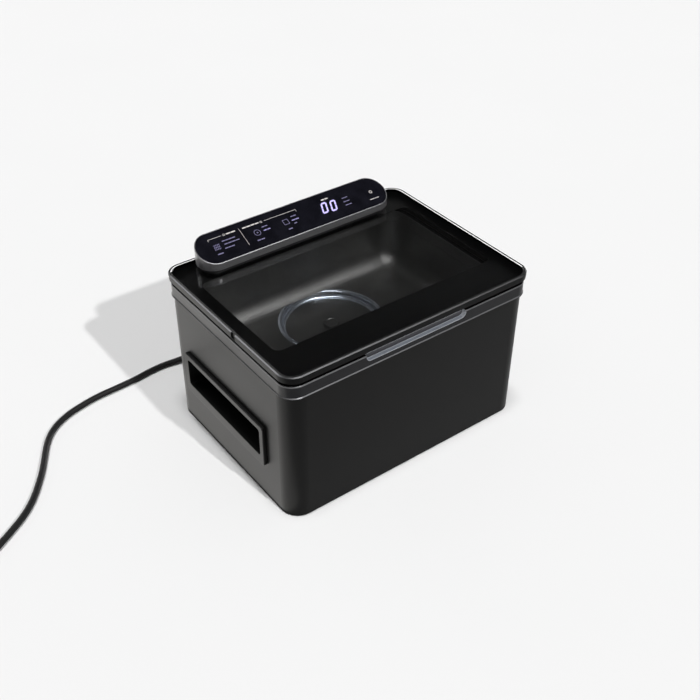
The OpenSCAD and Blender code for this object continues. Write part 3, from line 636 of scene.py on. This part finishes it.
# chamber of pressed steel, with a round recess for the juices
FLOOR_FILLET = 24
EDGE_R = 3
RECESS_R, RECESS_DEEP, RECESS_FILLET = 63, 8, 4
DRAIN_R = 5
cap_low, cap_high = span("intake_filter_cap")
recess_z = cap_low.z
floor_z = recess_z + RECESS_DEEP
recess_y = (cap_low.y + cap_high.y) / 2 - mid_y


def tub_solid(grow, bottom, top, fillet):
    """Body of the chamber with a rounded floor edge, made larger all round."""
    profile = [(fillet - x, bottom + fillet - z) for x, z in arc(0, 0, fillet, 90, 0, 8)]
    return loft([ring(tub_w + 2 * grow, tub_d + 2 * grow, TUB_R + grow, inset, z)
                 for inset, z in profile + [(0, top)]])


tub = solid("chamber", tub_solid(TUB_T, floor_z - TUB_T, deck_z, FLOOR_FILLET + TUB_T),
            FINISHES["chamber_steel"])
flange = solid("flange", loft([ring(tub_w, tub_d, TUB_R, -TUB_FLANGE, z)
                               for z in (deck_z - TUB_T, deck_z)]))
boss = solid("boss", shifted(lathe([(RECESS_R + TUB_T - 3, recess_z - TUB_T),
                                    (RECESS_R + TUB_T, recess_z + 2),
                                    (RECESS_R + TUB_T, floor_z - 0.4)]), (0, recess_y, 0)))
combine(tub, "UNION", flange, boss)
inner = solid("inner", tub_solid(0, floor_z, deck_z + 5, FLOOR_FILLET))
recess_profile = [(RECESS_R - RECESS_FILLET, recess_z)]
recess_profile += arc(RECESS_R - RECESS_FILLET, recess_z + RECESS_FILLET, RECESS_FILLET,
                      -90, 0, 6)[1:]
recess_profile += arc(RECESS_R + EDGE_R, floor_z - EDGE_R, EDGE_R, 180, 90, 6)
recess_profile.append((RECESS_R + EDGE_R, floor_z + 2))
recess = solid("recess", shifted(lathe(recess_profile), (0, recess_y, 0)))
drain = solid("drain", shifted(lathe([(DRAIN_R, recess_z - 5), (DRAIN_R, recess_z + 5)], 32),
                               (0, recess_y, 0)))
combine(tub, "DIFFERENCE", inner, recess, drain)

# raised bead round the recess, sunk so that only its upper part shows
BEAD_R, BEAD_SUNK, BEAD_STEPS = 3.4, 1.8, 96
BEAD_REACH = RECESS_R + EDGE_R
bead_turns = [math.tau * k / BEAD_STEPS for k in range(BEAD_STEPS)]
bead_rings = [[((BEAD_REACH + a) * math.cos(turn), recess_y + (BEAD_REACH + a) * math.sin(turn),
                floor_z - BEAD_SUNK + b) for turn in bead_turns]
              for a, b in arc(0, 0, BEAD_R, 0, 337.5, 15)]
combine(tub, "UNION", solid("bead", loft(bead_rings, closed=True)))
# Painted highlight: the bead and the recess's wall take the lighter bluish steel, for bright arcs
# round the recess.
bead_highlight_index = add_material(tub, BEAD_HIGHLIGHT_STEEL)
centre = place(0, recess_y, floor_z)
on_bead = set()
for vertex in tub.data.vertices:
    away = (vertex.co - centre).xy.length / MM
    if abs(away - BEAD_REACH) < BEAD_R + 0.3 and abs(vertex.co.z - centre.z) < BEAD_R * MM:
        on_bead.add(vertex.index)
for polygon in tub.data.polygons:
    away = (polygon.center - centre).xy.length / MM
    in_recess = (RECESS_R - RECESS_FILLET < away < BEAD_REACH
                 and recess_z < polygon.center.z / MM < floor_z)
    if polygon.normal.z > -0.1 and (in_recess or on_bead.issuperset(polygon.vertices)):
        polygon.material_index = bead_highlight_index
finish(tub, "housing", "chamber_steel", "chamber_tub", sharp=30)

SLOT_HALF, SLOT_H = 0.8, 2.5
cap_r = (cap_high.x - cap_low.x) / 2
cap_h = cap_high.z - cap_low.z
cap_profile = [(0.5, cap_h - 1.8), (cap_r - 1.5, cap_h - 1.8), (cap_r - 1.5, 0), (cap_r, 0),
               (cap_r, cap_h - 1.2), (cap_r - 0.5, cap_h - 0.3), (cap_r - 1.4, cap_h),
               (cap_r - 2.4, cap_h - 0.2), (cap_r - 3, cap_h - 0.9), (cap_r - 4, cap_h - 1)]
cap = solid("intake_cap", shifted(lathe(cap_profile, 48), (0, recess_y, cap_low.z)),
            FINISHES["chamber_steel"])
combine(cap, "DIFFERENCE", *[
    solid("slot", shifted(block((-cap_r - 1, -SLOT_HALF, -1), (cap_r + 1, SLOT_HALF, SLOT_H)),
                          (0, recess_y, cap_low.z), Matrix.Rotation(math.radians(a), 3, "Z")))
    for a in (0, 45, 90, 135)])
finish(cap, "housing", "chamber_steel", "intake_filter_cap")


# ---------- hand pockets ----------

bezel_low, bezel_high = span("handle_bezel_left")
bezel_l = bezel_high.y - bezel_low.y
bezel_y = (bezel_high.y + bezel_low.y) / 2 - mid_y
BEZEL_R, BEZEL_EDGE = 4, 1.2
POCKET_Z, POCKET_H, POCKET_L, POCKET_R = 66.0, 38.5, 161.0, 4
CUP_T, CUP_R = 2.0, 6
pocket_deep = bezel_high.x - bezel_low.x - CUP_T
plate_t = -bezel_low.x - wall_w / 2
plate_mid_z = (bezel_low.z + bezel_high.z) / 2
pocket_mid_z = POCKET_Z + POCKET_H / 2


def bezel(side):
    """Plate with a rounded edge and a cup behind it, turned to the left or right wall."""
    edge = [(0, 0), (0, plate_t - BEZEL_EDGE)]
    edge += [(BEZEL_EDGE - x, plate_t - BEZEL_EDGE + z)
             for x, z in arc(0, 0, BEZEL_EDGE, 0, 90, 4)[1:]]
    plate_rings = [ring(bezel_l, bezel_high.z - bezel_low.z, BEZEL_R, inset, z, 6)
                   for inset, z in edge]
    turn = Matrix(((0, 0, side), (1, 0, 0), (0, 1, 0)))
    wall = side * wall_w / 2
    plate = solid(f"handle_{'left' if side < 0 else 'right'}",
                  shifted(loft(plate_rings), (wall, bezel_y, plate_mid_z), turn),
                  FINISHES["bezel_plastic"])
    cup_rings = [ring(POCKET_L, POCKET_H, CUP_R - CUP_T, -CUP_T, z, 6)
                 for z in (plate_t - pocket_deep - CUP_T, 1)]
    hole_rings = [ring(POCKET_L, POCKET_H, POCKET_R, 0, z, 6)
                  for z in (plate_t - pocket_deep, plate_t + 2)]
    for operation, rings in (("UNION", cup_rings), ("DIFFERENCE", hole_rings)):
        combine(plate, operation,
                solid("tool", shifted(loft(rings), (wall, bezel_y, pocket_mid_z), turn)))
    soften(plate, 0.6, 2, 40)
    return plate


finish(bezel(-1), "housing", "bezel_plastic", "handle_bezel_left")
finish(bezel(1), "housing", "bezel_plastic", "handle_bezel_right")


# ---------- lid ----------

GLASS_EDGE = 1.8
FOOT_H = 2.2
NOTCH_FRONT, NOTCH_REAR, NOTCH_DEEP, NOTCH_Z = -31, -23, 1.7, 3
MAGNET_HOLE_R = 3.05


def at_rear(polygon):
    """True on the sloping edges of the rear and the right side, as far as the left rear corner:
    there the pane's edge gets a painted highlight and the frame's edge painted shade.
    """
    away = polygon.normal.xy.normalized()
    return away.y > -0.3 and away.x > -0.85


glass_low, glass_high = span("lid_glass")
rim_profile = [(2.2, lid_z), (1.9, lid_z + 1.6), (0.25, lid_z + FOOT_H), (0, lid_top - 1.3),
               (0.1, lid_top - 0.9), (1.6, lid_top - 0.1), (GLASS_EDGE, lid_top),
               (GLASS_EDGE, glass_low.z)]
rim_rings = [ring(lid_w, lid_d, CORNER, inset, z) for inset, z in rim_profile]
rim_rings += [ring(tub_w + 8, tub_d - 4, TUB_R, 0, z) for z in (glass_low.z, lid_z)]
rim = solid("lid_frame", loft(rim_rings, closed=True), FINISHES["lid_metal"])
magnet_low, magnet_high = span("lid_magnet")
magnet_y = (magnet_low.y + magnet_high.y) / 2 - mid_y
magnet_x = (magnet_low.x + magnet_high.x) / 2
magnet_hole = solid("hole", shifted(
    lathe([(MAGNET_HOLE_R, lid_z - 1), (MAGNET_HOLE_R, magnet_high.z)], 32),
    (magnet_x, magnet_y, 0)))
notch = solid("notch", block((-lid_w / 2 - 1, NOTCH_FRONT, lid_z + NOTCH_Z),
                             (-lid_w / 2 + NOTCH_DEEP, NOTCH_REAR, lid_top + 1)))
combine(rim, "DIFFERENCE", magnet_hole, notch)
# Painted light and shade on the lid frame: its underside next to the gap and its upper slope at the
# rear and right side are flat black shade; the upper slope at the front and left is a lighter
# painted highlight.
rim_highlight_index, shade_index = add_material(rim, LID_EDGE_HIGHLIGHT), add_material(rim, SHADE_BLACK)
for polygon in rim.data.polygons:
    if polygon.center.z / MM < lid_z + FOOT_H:
        polygon.material_index = shade_index
    elif polygon.normal.z > 0.3 and polygon.center.z / MM > lid_top - 0.9:
        polygon.material_index = shade_index if at_rear(polygon) else rim_highlight_index
finish(rim, "lid", "lid_metal", "lid_rim", sharp=20)

BORDER_T = 0.15
pane_w, pane_d = glass_high.x - glass_low.x, glass_high.y - glass_low.y
PANE_R = CORNER - GLASS_EDGE - 0.1
pane_rings = [ring(pane_w, pane_d, PANE_R, inset, z) for inset, z in
              [(0.2, glass_low.z + BORDER_T + 0.05), (0, glass_low.z + BORDER_T + 0.25),
               (0.6, glass_high.z - 0.4), (2.6, glass_high.z)]]
pane = solid("lid_pane", loft(pane_rings), FINISHES["lid_glass"])
# The pane's sloped edge: a near-white painted highlight at the rear and right side, the border's
# black at the front and left.
pane_highlight_index, border_index = add_material(pane, GLASS_RIM_HIGHLIGHT), add_material(pane, BORDER)
for polygon in pane.data.polygons:
    if 0.3 < polygon.normal.z < 0.99:
        polygon.material_index = pane_highlight_index if at_rear(polygon) else border_index
finish(pane, "lid", "lid_glass", "lid_glass", sharp=10)

WINDOW_W, WINDOW_D, WINDOW_R = 316, 163, 10
WINDOW_AT = (3, 3.5)
border_top = glass_low.z + BORDER_T
border_rings = [ring(pane_w, pane_d, PANE_R, 0.2, z) for z in (glass_low.z, border_top)]
border_rings += [ring(WINDOW_W, WINDOW_D, WINDOW_R, 0, z, centre=WINDOW_AT)
                 for z in (border_top, glass_low.z)]
border = solid("lid_printed_border", loft(border_rings, closed=True), BORDER)
finish(border, "lid", "lid_glass")
film = solid("lid_window_film", loft([
    ring(WINDOW_W, WINDOW_D, WINDOW_R, 0.1, glass_low.z + z, centre=WINDOW_AT)
    for z in (0.05, 0.1)]), HAZE)
finish(film, "lid", "lid_glass")


# ---------- control console ----------

band_low, band_high = span("console_band")
console_x = (band_low.x + band_high.x) / 2
console_front = band_low.y - mid_y
console_l, console_d = band_high.x - band_low.x, band_high.y - band_low.y
console_mid = console_front + console_d / 2
TILT = math.radians(23)
FRONT_H = 9.1
BAND_T = 2.0
FACE_T = 1.6
face_z = band_low.z + FRONT_H


def stadium(shrink, steps=24):
    """Pill outline of the console, drawn in by an amount."""
    radius = console_d / 2 - shrink
    straight = (console_l - console_d) / 2
    return (arc(console_x + straight, console_mid, radius, -90, 90, steps)
            + arc(console_x - straight, console_mid, radius, 90, 270, steps))


def slanted(shrink, drop):
    """Outline on the plane of the face, lowered by a drop measured along Z."""
    return [(x, y, face_z + (y - console_front) * math.tan(TILT) - drop)
            for x, y in stadium(shrink)]


def level(shrink, z):
    """The same outline at one height."""
    return [(x, y, z) for x, y in stadium(shrink)]


FACE_IN = 0.9
band_rings = [level(0, band_low.z + 0.6), slanted(0, 0.8), slanted(0.2, 0.25), slanted(0.75, 0),
              slanted(FACE_IN, 0.1), slanted(FACE_IN, FACE_T + 0.3),
              slanted(BAND_T, FACE_T + 0.3), level(BAND_T, band_low.z), level(0.6, band_low.z)]
band = solid("console_frame", loft(band_rings, closed=True), FINISHES["console_metal"])
paint(band, EDGE_POLISH_HIGHLIGHT, face_z - 0.8, band_high.z, 0.25)
finish(band, "lid", "console_metal", "console_band", sharp=30)
FACE_GAP = 0.1
face_rings = [slanted(FACE_IN + FACE_GAP, FACE_T), slanted(FACE_IN + FACE_GAP, 0.4),
              slanted(FACE_IN + 0.5, 0.15)]
face = solid("console_face", loft(face_rings), FINISHES["console_face"])
finish(face, "lid", "console_face", "console_glass")

# face coordinates: u to the right of the console's middle, v up the slope
slope_half = console_d / 2 / math.cos(TILT)
PRINT_T = 0.06


def on_face(u, v, lift):
    """Point at a face coordinate, lifted off the face."""
    run = (slope_half + v) * math.cos(TILT)
    rise = (slope_half + v) * math.sin(TILT)
    return (console_x + u, console_front + run - lift * math.sin(TILT),
            face_z - 0.15 + rise + lift * math.cos(TILT))


def printed(corners):
    """Thin solid on the face through (u, v) corners."""
    return loft([[on_face(u, v, lift) for u, v in corners] for lift in (0.0, PRINT_T)])


def stroke(u0, v0, u1, v1, width):
    """Straight line of a width on the face."""
    along = Vector((u1 - u0, v1 - v0)).normalized() * width / 2
    side = Vector((-along.y, along.x))
    corners = [Vector((u0, v0)) - side, Vector((u1, v1)) - side,
               Vector((u1, v1)) + side, Vector((u0, v0)) + side]
    return printed([tuple(c) for c in corners])


def circle(u, v, radius, width, steps=28):
    """Ring on the face."""
    rings = []
    for r, lift in [(radius - width / 2, 0.0), (radius + width / 2, 0.0),
                    (radius + width / 2, PRINT_T), (radius - width / 2, PRINT_T)]:
        rings.append([on_face(u + r * math.cos(math.tau * k / steps),
                              v + r * math.sin(math.tau * k / steps), lift)
                      for k in range(steps)])
    return loft(rings, closed=True)


def text_bar(u, v, length, height):
    """A line of words shown as plain dashes."""
    words = max(1, round(length / (4 * height)))
    pitch = length / words
    return join([stroke(u + pitch * i, v, u + pitch * (i + 1) - 0.5 * height, v, height)
                 for i in range(words)])


def graphic(name, shapes, material):
    """Lit shapes on the face, as one piece of the lid."""
    piece = solid(name, join(shapes), material)
    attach(piece, "lid")


LINE = 0.45
BRACKET_V = 13.0
graphic("print_brackets", [
    stroke(-118, BRACKET_V, -99.5, BRACKET_V, LINE), stroke(-118, BRACKET_V, -118, 10.4, LINE),
    stroke(-38.5, BRACKET_V - 0.4, 8, BRACKET_V - 0.4, LINE),
    stroke(8, BRACKET_V - 0.4, 8, 9.4, LINE),
    stroke(-74.2, 14.2, -74.2, -13, LINE * 0.8),
    circle(-95.6, 12.9, 1.3, 0.45), text_bar(-92.5, 12.9, 13.6, 1.6),
    text_bar(-69.6, 12.6, 24.2, 1.6), circle(-42.9, 12.3, 1.3, 0.45),
    circle(118, -0.7, 1.9, 0.8), text_bar(109.9, -11.9, 14.4, 0.9),
    text_bar(47.8, 12.4, 11, 1.8)], PRINT_WHITE)

graphic("print_values", [text_bar(-46.6, -0.6, 10.4, 1.4), text_bar(-5.2, -0.8, 11, 1.4)],
        PRINT_VALUE)

HATCH_U, HATCH_V, HATCH_HALF = -112.3, -0.4, 4.2
hatch = [stroke(HATCH_U + t - 1.2, HATCH_V - HATCH_HALF, HATCH_U + t + 1.2, HATCH_V + HATCH_HALF,
                0.5) for t in (-3.2, -1.1, 1.1, 3.2)]
hatch += [stroke(HATCH_U - HATCH_HALF, HATCH_V + t, HATCH_U + HATCH_HALF, HATCH_V + t, 0.5)
          for t in (-3.2, 0, 3.2)]
SQUARE_U, SQUARE_V, SQUARE_HALF = -13.6, 0, 3.6
corner_points = [(-1, -1), (1, -1), (1, 1), (-1, 1)]
square = [stroke(SQUARE_U + SQUARE_HALF * a[0], SQUARE_V + SQUARE_HALF * a[1],
                 SQUARE_U + SQUARE_HALF * b[0], SQUARE_V + SQUARE_HALF * b[1], 0.6)
          for a, b in zip(corner_points, corner_points[1:] + corner_points[:1])]
graphic("print_icons", hatch + square + [
    text_bar(-102.8, 5, 19, 1.3), text_bar(-101.9, 0, 21.5, 1.3), text_bar(-104.3, -5.8, 14, 1.3),
    text_bar(-116.9, -10.6, 8.2, 1.5), circle(-55.5, -0.3, 4.2, 0.6), circle(-55.5, -0.3, 0.7, 0.7),
    text_bar(-46.3, 4.9, 8.6, 1.3), text_bar(-61.8, -11.2, 11, 1.5), text_bar(-3.8, 5, 8.4, 1.3),
    text_bar(-4.6, -5.8, 4.8, 1.3), text_bar(-16.3, -11.3, 6.5, 1.5),
    text_bar(75.2, 4.6, 9.3, 1.2), text_bar(74.4, -1.3, 9.6, 1.2), text_bar(74, -6.9, 10.1, 1.2)],
    PRINT_DIM)

DIGIT_W, DIGIT_H, DIGIT_T, DIGIT_GAP, LEAN = 8.9, 16.2, 2.2, 0.35, 5.6


def zero(u, v):
    """Seven-segment nought, leaning to the right. u, v is its lower left corner."""
    half = DIGIT_T / 2
    bars = [((half, half), (DIGIT_W - half, half)),
            ((half, DIGIT_H - half), (DIGIT_W - half, DIGIT_H - half))]
    for side in (half, DIGIT_W - half):
        bars.append(((side, half), (side, DIGIT_H / 2)))
        bars.append(((side, DIGIT_H / 2), (side, DIGIT_H - half)))
    shapes = []
    for (a, b), (c, d) in bars:
        along = Vector((c - a, d - b)).normalized()
        start = Vector((a, b)) + along * (DIGIT_GAP - 0.1 * half)
        end = Vector((c, d)) - along * DIGIT_GAP
        side = Vector((-along.y, along.x)) * half
        corners = [start - side, end - side, end + side, start + side]
        shapes.append(printed([(u + p.x + LEAN * p.y / DIGIT_H, v + p.y) for p in corners]))
    return shapes


graphic("print_digits", zero(38.2, -7.9) + zero(51.3, -9.0), PRINT_DIGIT)


# ---------- floor and lights ----------

floor_mesh = bpy.data.meshes.new("floor")
FLOOR_HALF = 40
floor_mesh.from_pydata([(-FLOOR_HALF, -FLOOR_HALF, 0), (FLOOR_HALF, -FLOOR_HALF, 0),
                        (FLOOR_HALF, FLOOR_HALF, 0), (-FLOOR_HALF, FLOOR_HALF, 0)],
                       [], [(0, 1, 2, 3)])
floor_mesh.materials.append(surface("floor_paper", (0.8, 0.8, 0.8), 0.9, grain=3, vary=0.004,
                                    spec=0.0))
floor = bpy.data.objects.new("floor", floor_mesh)
bpy.context.collection.objects.link(floor)

world = bpy.data.worlds.new("world")
world.use_nodes = True
world.node_tree.nodes["Background"].inputs["Color"].default_value = (1, 1, 1, 1)
world.node_tree.nodes["Background"].inputs["Strength"].default_value = 0.2
world.cycles_visibility.glossy = False
bpy.context.scene.world = world


def lamp(name, direction, distance, size, power, aim=(0, 0, 0.12), colour=(1, 1, 1)):
    """Softbox in a direction from the aim, seen only in reflections: the suns light the rest."""
    data = bpy.data.lights.new(name, "AREA")
    data.shape = "RECTANGLE"
    data.size, data.size_y = size
    data.energy = power
    data.color = colour
    light = bpy.data.objects.new(name, data)
    bpy.context.collection.objects.link(light)
    light.location = Vector(aim) + Vector(direction).normalized() * distance
    light.rotation_mode = "QUATERNION"
    light.rotation_quaternion = (Vector(aim) - light.location).to_track_quat("-Z", "Y")
    light.visible_camera = False
    light.visible_diffuse = False


def sunlight(name, towards, power, angle, glossy=True):
    """Parallel light. It can be kept out of reflections, to fill without a glare."""
    data = bpy.data.lights.new(name, "SUN")
    data.energy = power
    data.angle = math.radians(angle)
    light = bpy.data.objects.new(name, data)
    bpy.context.collection.objects.link(light)
    light.rotation_mode = "QUATERNION"
    light.rotation_quaternion = Vector(towards).to_track_quat("-Z", "Y")
    light.visible_glossy = glossy


sunlight("key", (-0.09, 0.75, -0.65), 1.6, 1.4)
sunlight("fill", (0.05, 0.05, -1), 2.0, 12, False)
lamp("overhead", (0.0, -0.38, 0.9), 3.0, (3.4, 0.9), 150)
lamp("rear_left", (-0.3, 0.63, 0.72), 2.5, (1.0, 1.0), 30)
lamp("rear_card", (0.6, 0.78, 0.12), 2.6, (4.5, 1.1), 70)
lamp("left_card", (0, 0, -1), 0.995, (0.66, 0.98), 3.0, aim=(-0.505, 0.33, 1),
     colour=(1, 0.98, 0.94))
